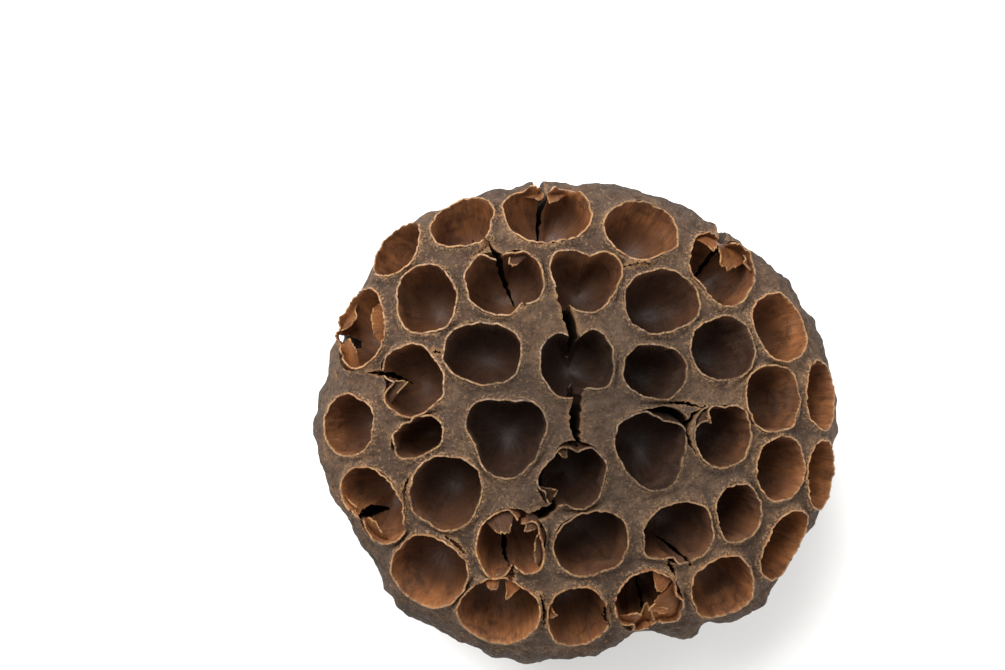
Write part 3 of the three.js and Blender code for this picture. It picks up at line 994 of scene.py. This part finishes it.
husk_finish, tree, shader = new_material("dry husk")
place = put(tree, "ShaderNodeTexCoord").outputs["Object"]
grain = use(tree, fibre, Vector=place, Scale=420.0)
patches = mottle(tree, place, 95, 4, 0.55)
colour = blend(tree, ramp(tree, patches, 0.36, 0.64), srgb(70, 50, 37), srgb(98, 73, 52))
colour = blend(tree, ramp(tree, grain["Mask"], 0, 1, 0.0, 0.65), colour, srgb(50, 38, 29))
skin_mask = attribute(tree, "skin")
colour = blend(tree, ramp(tree, skin_mask, 0.1, 0.9, 0, 0.75), colour, srgb(56, 46, 39))
specks = mottle(tree, place, 1500, 3, 0.6)
colour = blend(tree, ramp(tree, specks, 0.58, 0.7, 0, 0.55), colour, srgb(148, 112, 74))
blots = mottle(tree, place, 520, 6, 0.7, 1.0)
colour = blend(tree, ramp(tree, blots, 0.5, 0.64, 0, 0.6), colour, srgb(40, 30, 23))
colour = blend(tree, use(tree, dust, Vector=place, Amount=0.22)["Mask"], colour, srgb(128, 110, 90))
frayed = ramp(tree, grain["Height"], 0.35, 0.65, -0.35, 0.35)
edge = calc(tree, "ADD", attribute(tree, "near"), frayed)
colour = blend(tree, ramp(tree, edge, 0.42, 0.02, 0, 0.5), colour, srgb(134, 100, 66))
crumbs = ramp(tree, mottle(tree, place, 2100, 2, 0.6), 0.52, 0.62, 0, 0.75)
colour = blend(tree, calc(tree, "MULTIPLY", ramp(tree, edge, 1.5, 0.3), crumbs), colour, srgb(146, 114, 80))
split = calc(tree, "ADD", attribute(tree, "torn"), frayed)
colour = blend(tree, ramp(tree, split, 0.5, 0.05, 0, 0.5), colour, srgb(140, 104, 68))
# Painted shade: the web darkens towards the middle of the face.
colour = blend(tree, ramp(tree, attribute(tree, "middle"), 0, 1, 0, 0.5), colour, srgb(46, 36, 28))
# Painted shade: the deeper a point is sunk below the head's plain surface, in a crack, a cut cell wall or a
# deep crease, the nearer its colour goes to near-black, and its sheen is taken away.
sunk = attribute(tree, "sunk")
colour = blend(tree, ramp(tree, sunk, 1.0, 2.2, 0, 0.95), colour, srgb(26, 18, 13))
tree.links.new(colour, shader.inputs["Base Color"])
tree.links.new(ramp(tree, grain["Mask"], 0, 1, 0.78, 0.95), shader.inputs["Roughness"])
bump = put(tree, "ShaderNodeBump", Strength=1.0, Distance=0.0008, Height=grain["Height"])
tree.links.new(bump.outputs[0], shader.inputs["Normal"])
tree.links.new(ramp(tree, sunk, 0.8, 2.0, 0.3, 0.02), shader.inputs["Specular IOR Level"])
husk.data.materials.clear()
husk.data.materials.append(husk_finish)

# %% [markdown]
# ## The linings' finish
# A lining is smooth and silky, red-brown near the rim and darkened further down by painted shade, with fine
# streaks from top to bottom. Its rim is thin enough to be pale tan, and that pale band also carries a
# painted highlight. The cells in the middle of the face get painted shade that makes them nearly
# black-brown, and the outer ones are warmer. A loose scrap is plain brown and quite matt.

# %% Cell lining
lining_finish, tree, shader = new_material("cell lining")
place = put(tree, "ShaderNodeTexCoord").outputs["Object"]
streaks = use(tree, fibre, Vector=attribute(tree, "streak", "Vector"), Scale=0.9)
clouds = ramp(tree, mottle(tree, place, 150, 3, 0.5), 0.35, 0.65)
below, warmth = attribute(tree, "below"), attribute(tree, "warmth")
light = blend(tree, clouds, srgb(156, 101, 60), srgb(122, 77, 48))
dark = blend(tree, clouds, srgb(66, 44, 32), srgb(46, 32, 25))
colour = blend(tree, ramp(tree, warmth, 0.0, 0.9), dark, light)
# Painted shade: a lining darkens on its way down its cell, from 1 mm to 11 mm below the rim.
colour = blend(tree, ramp(tree, below, 1.0, 11, 0, 0.6), colour, srgb(42, 27, 20))
scrap_colour = blend(tree, ramp(tree, warmth, 0.5, 0.6), srgb(66, 47, 35), srgb(108, 66, 35))
scrap = attribute(tree, "scrap")
colour = blend(tree, ramp(tree, scrap, 0, 1, 0, 0.8), colour, scrap_colour)
colour = blend(tree, ramp(tree, streaks["Mask"], 0, 1, 0, 0.5), colour, srgb(64, 40, 28))
stains = mottle(tree, place, 330, 5, 0.65, 0.8)
colour = blend(tree, ramp(tree, stains, 0.5, 0.66, 0, 0.5), colour, srgb(38, 25, 19))
colour = blend(tree, use(tree, dust, Vector=place, Amount=0.2)["Mask"], colour, srgb(126, 110, 94))
# The pale tan band round a lining's rim is partly the thin rim's own colour and wear and partly a painted
# highlight on its edge.
worn_and_lit_band = calc(tree, "ADD", below, ramp(tree, streaks["Height"], 0.35, 0.65, -0.3, 0.3))
wear_and_highlight = ramp(tree, stains, 0.34, 0.6, 0.9, 0.45)
colour = blend(tree, ramp(tree, worn_and_lit_band, 0.3, -0.05, 0, wear_and_highlight), colour, srgb(154, 120, 82))
# Painted shade: the linings darken towards the middle of the face, where the cells turn nearly black-brown.
colour = blend(tree, ramp(tree, attribute(tree, "middle"), 0.1, 1, 0, 0.5), colour, srgb(30, 22, 17))
tree.links.new(colour, shader.inputs["Base Color"])
tree.links.new(ramp(tree, streaks["Mask"], 0, 1, 0.38, 0.6), shader.inputs["Roughness"])
bump = put(tree, "ShaderNodeBump", Strength=0.35, Distance=0.0003, Height=streaks["Height"])
tree.links.new(bump.outputs[0], shader.inputs["Normal"])
tree.links.new(ramp(tree, scrap, 0, 1, 0.3, 0.04), shader.inputs["Specular IOR Level"])
for piece in [*linings, flaps]:
    piece.data.materials.clear()
    piece.data.materials.append(lining_finish)

# %% [markdown]
# ## Camera
# The view is from almost straight above the face, a little to one side, with a long lens.

# %% Place the camera
VIEW_TILT, VIEW_DISTANCE = math.radians(8), 523 * MM
right, up = Vector((math.cos(VIEW_TILT), 0, math.sin(VIEW_TILT))), Vector((0, 1, 0))
back = right.cross(up)
aim = Vector((0, 0, SHOULDER_HEIGHT)) - right * 14.0 * MM + up * 16.5 * MM
camera = bpy.data.objects.new("camera", bpy.data.cameras.new("camera"))
camera.data.lens, camera.data.sensor_width = 100, 36
camera.matrix_world = Matrix((right, up, back)).transposed().to_4x4()
camera.location = aim + back * VIEW_DISTANCE
bpy.context.scene.collection.objects.link(camera)
bpy.context.scene.camera = camera
print("the camera is", round(camera.location.length, 3), "m from the stalk")

# %% Floor and light
floor_mesh = bmesh.new()
bmesh.ops.create_grid(floor_mesh, x_segments=1, y_segments=1, size=1.5)
floor = new_object("floor", floor_mesh)
floor_finish, tree, shader = new_material("pale floor")
shader.inputs["Base Color"].default_value = srgb(245, 244, 242)
shader.inputs["Roughness"].default_value = 0.9
floor.data.materials.append(floor_finish)


LIT_POINT = (0, 0, 0.04)


def lamp(name, place, size, power):
    """A square soft light that faces the head."""
    light = bpy.data.lights.new(name, "AREA")
    light.size, light.energy = size, power
    made = bpy.data.objects.new(name, light)
    made.location = place
    made.rotation_euler = (Vector(place) - Vector(LIT_POINT)).to_track_quat("Z", "Y").to_euler()
    bpy.context.scene.collection.objects.link(made)


lamp("key", (-0.4, 0.5, 0.8), 0.7, 20)
lamp("fill", (0.6, -0.2, 0.6), 0.9, 4)
world = bpy.data.worlds.new("studio")
world.use_nodes = True
world.node_tree.nodes["Background"].inputs["Color"].default_value = (1, 1, 1, 1)
world.node_tree.nodes["Background"].inputs["Strength"].default_value = 0.6
bpy.context.scene.world = world
bpy.context.scene.view_settings.view_transform = "Standard"

# %% [markdown]
# ## Hand the pieces to the frame

# %% Ride, replace and finish
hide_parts("lotus_pod")
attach(husk, "root")
for piece in [*linings, flaps]:
    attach(piece, "root")
